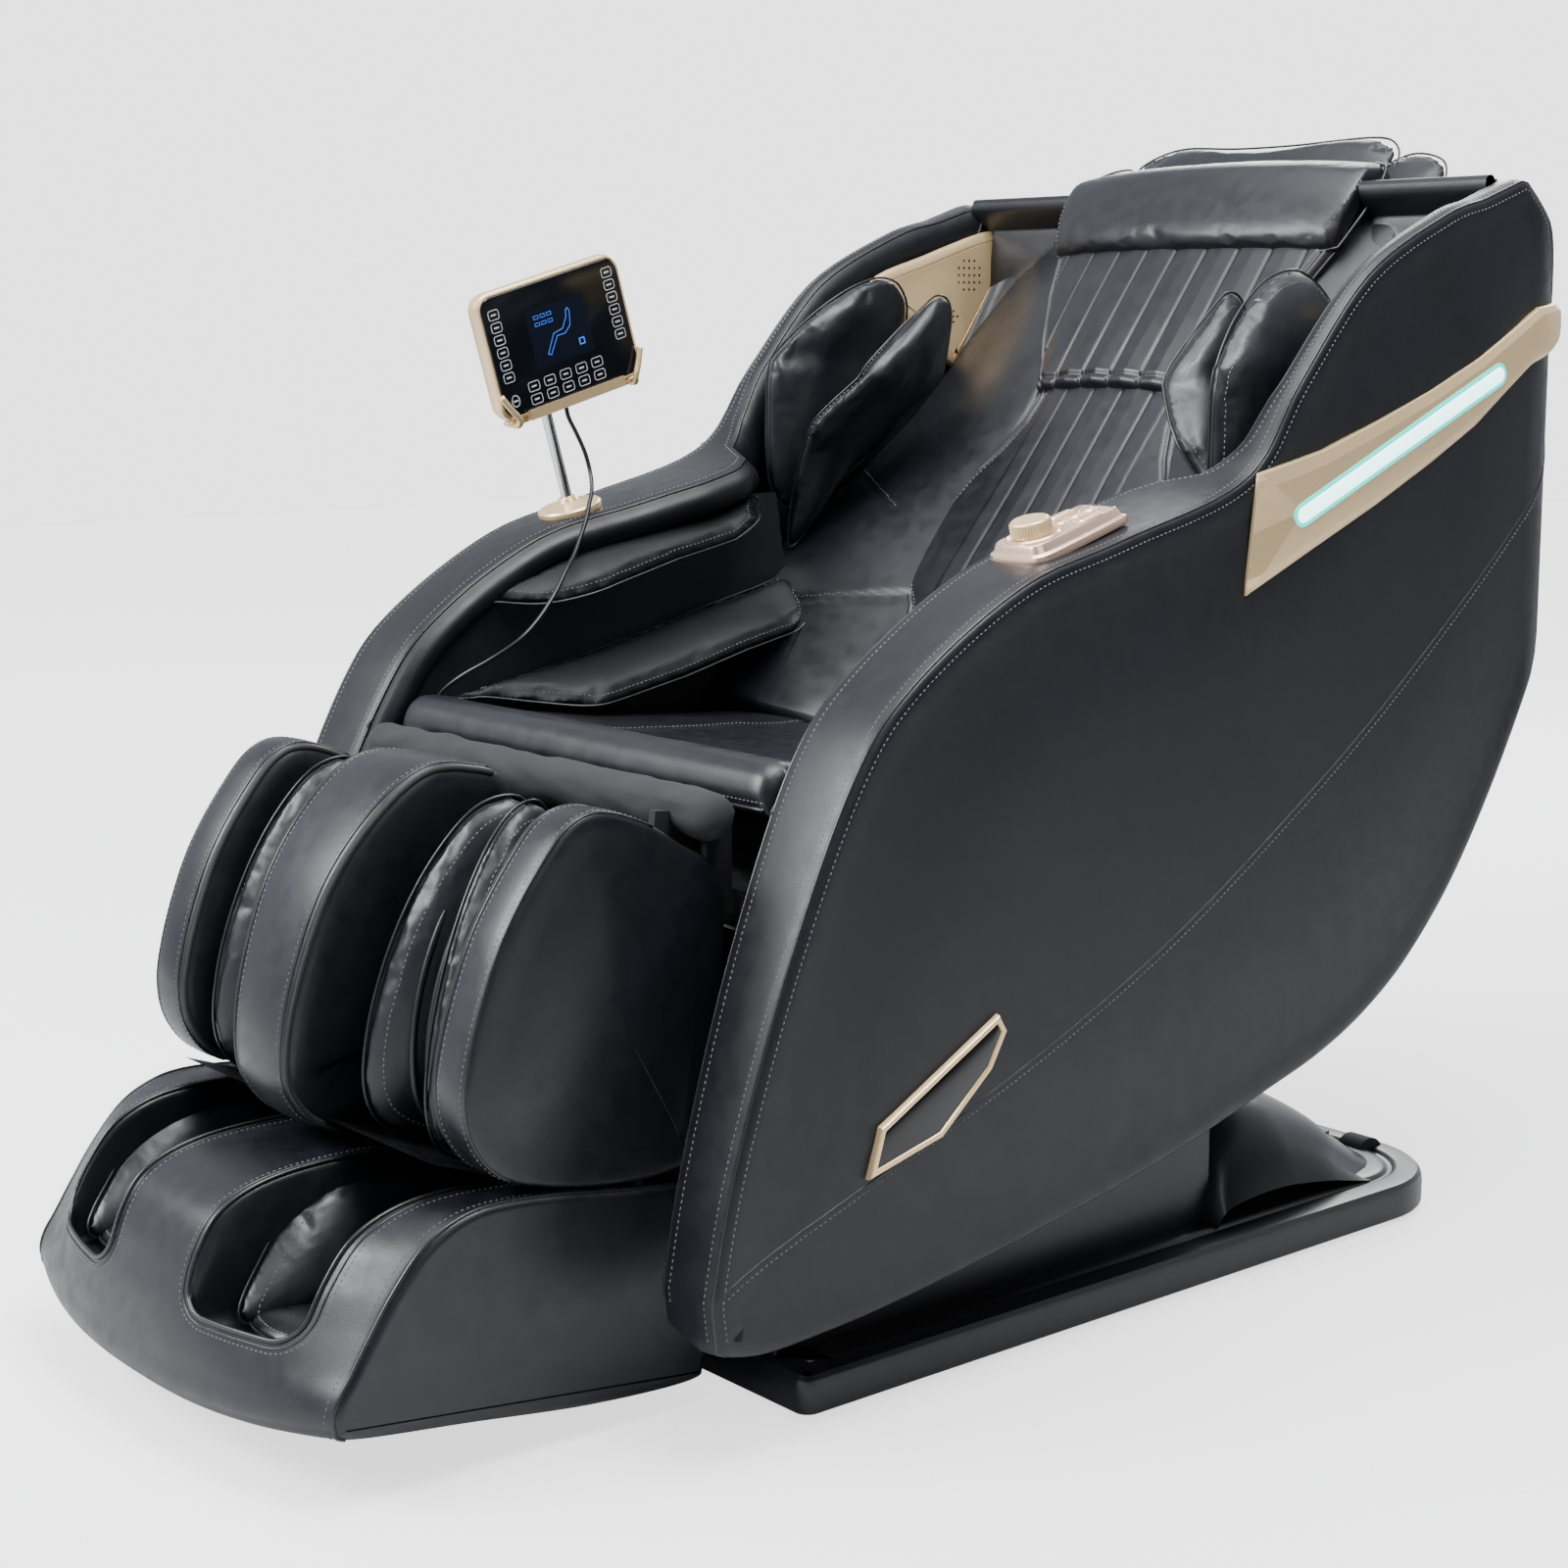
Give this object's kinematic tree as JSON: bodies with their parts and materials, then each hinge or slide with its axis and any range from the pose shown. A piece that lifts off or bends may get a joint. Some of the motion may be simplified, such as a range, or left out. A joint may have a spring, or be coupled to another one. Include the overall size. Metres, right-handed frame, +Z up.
{
  "type": "massage chair",
  "caption": "Reclining shell massage chair with padded wings, arm and shoulder airbags, calf and foot wells, roller track and a tablet on a pole.",
  "frame": {"origin": "on the floor under the middle of the base", "axes": "+Z up, the front of the seat faces -Y, +X is the left side of the sitter"},
  "size_m": [0.794, 1.3812, 1.0827],
  "materials": {
    "black_steel": "powder coated",
    "bright_steel": "bright",
    "base_plastic": "fine grain",
    "rubber": "matt",
    "switch_red": "gloss",
    "grey_plastic": "matt",
    "motor_black": "satin",
    "leather": "soft sheen, stitched seams",
    "shell_plastic": "leather over a moulded shell",
    "plywood": "raw",
    "gold": "champagne gold, satin metallic",
    "led": "light guide, lit blue",
    "badge_black": "gloss",
    "buttons": "satin metallic",
    "cable": "satin",
    "roller": "soft touch",
    "screen": "gloss"
  },
  "bodies": {
    "base": {"base_frame": "black_steel", "base_cover": "base_plastic", "rubber_feet": "rubber", "power_inlet": "base_plastic", "control_box": "grey_plastic", "tilt_pins": "bright_steel"},
    "shell": {"seat_frame": "black_steel", "legrest_pins": "bright_steel", "side_panel_left": "leather", "side_panel_right": "leather", "arm_box_left": "leather", "arm_box_right": "leather", "back_cover": "shell_plastic", "seat_board": "plywood", "seat_cushion": "leather", "guide_rails": "bright_steel", "backrest_pad": "leather", "back_bolsters": "leather", "head_pillow": "leather", "shoulder_airbags": "leather", "arm_airbags": "leather", "side_trims": "gold", "led_strips": "led", "badge_bezels": "gold", "badge_inserts": "badge_black", "speaker_panels": "gold", "control_plate": "gold", "air_pump": "grey_plastic", "tablet_flange": "gold", "tablet_cord": "cable"},
    "wheel_left": {"transport_wheel_left": "rubber"},
    "wheel_right": {"transport_wheel_right": "rubber"},
    "mains_rocker": {"power_switch": "switch_red"},
    "actuator": {"tilt_actuator": "motor_black"},
    "actuator_rod": {"tilt_rod": "bright_steel"},
    "screw": {"lead_screw": "bright_steel"},
    "carriage": {"carriage_frame": "black_steel", "carriage_motor": "motor_black"},
    "massage_arm_left": {"roller_arm_left": "bright_steel"},
    "massage_arm_right": {"roller_arm_right": "bright_steel"},
    "head_roller_left": {"roller_upper_left": "roller"},
    "lumbar_roller_left": {"roller_lower_left": "roller"},
    "head_roller_right": {"roller_upper_right": "roller"},
    "lumbar_roller_right": {"roller_lower_right": "roller"},
    "legrest": {"legrest_frame": "black_steel", "calf_body": "leather", "calf_airbags": "leather"},
    "foot_unit": {"foot_body": "leather", "foot_rails": "bright_steel"},
    "foot_roller": {"sole_roller": "roller"},
    "tablet_mast": {"tablet_pole": "bright_steel"},
    "tablet": {"tablet_case": "gold", "tablet_glass": "screen", "tablet_cradle": "gold"},
    "knob": {"control_knob": "gold"},
    "button_1": {"control_button_1": "buttons"},
    "button_2": {"control_button_2": "buttons"},
    "button_3": {"control_button_3": "buttons"},
    "button_4": {"control_button_4": "buttons"},
    "button_5": {"control_button_5": "buttons"}
  },
  "joints": [
    {"name": "shell_tilt", "type": "hinge", "parent": "base", "child": "shell", "pos_m": [0, 0.04, 0.205], "axis": [-1, 0, 0], "range_deg": [0, 20]},
    {"name": "wheel_spin_left", "type": "hinge", "parent": "base", "child": "wheel_left", "pos_m": [0.236, 0.4, 0.026], "axis": [1, 0, 0], "continuous": true},
    {"name": "wheel_spin_right", "type": "hinge", "parent": "base", "child": "wheel_right", "pos_m": [-0.236, 0.4, 0.026], "axis": [1, 0, 0], "continuous": true},
    {"name": "mains_rocker_tip", "type": "hinge", "parent": "base", "child": "mains_rocker", "pos_m": [-0.038, 0.422, 0.021], "axis": [0, 0, 1], "range_deg": [0, 12]},
    {"name": "tilt_actuator_swing", "type": "hinge", "parent": "base", "child": "actuator", "pos_m": [0, -0.171, 0.045], "axis": [1, 0, 0], "range_deg": [0, 0.5]},
    {"name": "tilt_rod_slide", "type": "slide", "parent": "actuator", "child": "actuator_rod", "axis": [0, 0.1908, 0.9816], "range_m": [0, 0.064]},
    {"name": "screw_spin", "type": "hinge", "parent": "shell", "child": "screw", "pos_m": [0, 0.31884, 0.62098], "axis": [0, 0.6157, 0.788], "range_deg": [0, 6200]},
    {"name": "carriage_slide", "type": "slide", "parent": "shell", "child": "carriage", "axis": [0, 0.6157, 0.788], "range_m": [0, 0.34]},
    {"name": "kneading_left", "type": "hinge", "parent": "carriage", "child": "massage_arm_left", "pos_m": [0, 0.16138, 0.52826], "axis": [1, 0, 0], "range_deg": [-6, 6]},
    {"name": "kneading_right", "type": "hinge", "parent": "carriage", "child": "massage_arm_right", "pos_m": [0, 0.16138, 0.52826], "axis": [1, 0, 0], "range_deg": [-6, 6]},
    {"name": "head_roller_spin_left", "type": "hinge", "parent": "massage_arm_left", "child": "head_roller_left", "pos_m": [0.075, 0.18788, 0.57355], "axis": [1, 0, 0], "continuous": true},
    {"name": "lumbar_roller_spin_left", "type": "hinge", "parent": "massage_arm_left", "child": "lumbar_roller_left", "pos_m": [0.075, 0.12385, 0.4916], "axis": [1, 0, 0], "continuous": true},
    {"name": "head_roller_spin_right", "type": "hinge", "parent": "massage_arm_right", "child": "head_roller_right", "pos_m": [-0.075, 0.18788, 0.57355], "axis": [1, 0, 0], "continuous": true},
    {"name": "lumbar_roller_spin_right", "type": "hinge", "parent": "massage_arm_right", "child": "lumbar_roller_right", "pos_m": [-0.075, 0.12385, 0.4916], "axis": [1, 0, 0], "continuous": true},
    {"name": "legrest_lift", "type": "hinge", "parent": "shell", "child": "legrest", "pos_m": [0, -0.455, 0.49], "axis": [-1, 0, 0], "range_deg": [0, 75]},
    {"name": "foot_extend", "type": "slide", "parent": "legrest", "child": "foot_unit", "axis": [0, -0.1305, -0.9914], "range_m": [0, 0.101]},
    {"name": "foot_roller_spin", "type": "hinge", "parent": "foot_unit", "child": "foot_roller", "pos_m": [0, -0.64, 0.062], "axis": [1, 0, 0], "continuous": true},
    {"name": "tablet_swivel", "type": "hinge", "parent": "shell", "child": "tablet_mast", "pos_m": [-0.335, -0.178, 0.6915], "axis": [0, -0.2672, 0.9636], "range_deg": [-90, 90]},
    {"name": "tablet_tilt", "type": "hinge", "parent": "tablet_mast", "child": "tablet", "pos_m": [-0.335, -0.20793, 0.79943], "axis": [0, 0.9636, 0.2672], "range_deg": [-35, 5]},
    {"name": "knob_turn", "type": "hinge", "parent": "shell", "child": "knob", "pos_m": [0.335, -0.17862, 0.70189], "axis": [0, -0.2672, 0.9636], "continuous": true},
    {"name": "button_press_1", "type": "slide", "parent": "shell", "child": "button_1", "axis": [0, 0.2672, -0.9636], "range_m": [0, 0.0012], "stiffness_N_per_m": 500, "springref_m": -0.001},
    {"name": "button_press_2", "type": "slide", "parent": "shell", "child": "button_2", "axis": [0, 0.2672, -0.9636], "range_m": [0, 0.0012], "stiffness_N_per_m": 500, "springref_m": -0.001},
    {"name": "button_press_3", "type": "slide", "parent": "shell", "child": "button_3", "axis": [0, 0.2672, -0.9636], "range_m": [0, 0.0012], "stiffness_N_per_m": 500, "springref_m": -0.001},
    {"name": "button_press_4", "type": "slide", "parent": "shell", "child": "button_4", "axis": [0, 0.2672, -0.9636], "range_m": [0, 0.0012], "stiffness_N_per_m": 500, "springref_m": -0.001},
    {"name": "button_press_5", "type": "slide", "parent": "shell", "child": "button_5", "axis": [0, 0.2672, -0.9636], "range_m": [0, 0.0012], "stiffness_N_per_m": 500, "springref_m": -0.001}
  ],
  "couplings": [
    {"joint": "tilt_actuator_swing", "follows": "shell_tilt", "ratio": 0.015},
    {"joint": "tilt_rod_slide", "follows": "shell_tilt", "m_per_rad": 0.1796},
    {"joint": "screw_spin", "follows": "carriage_slide", "rad_per_m": 314.16},
    {"joint": "kneading_right", "follows": "kneading_left", "ratio": -1},
    {"joint": "foot_extend", "follows": "legrest_lift", "m_per_rad": 0.0764}
  ]
}
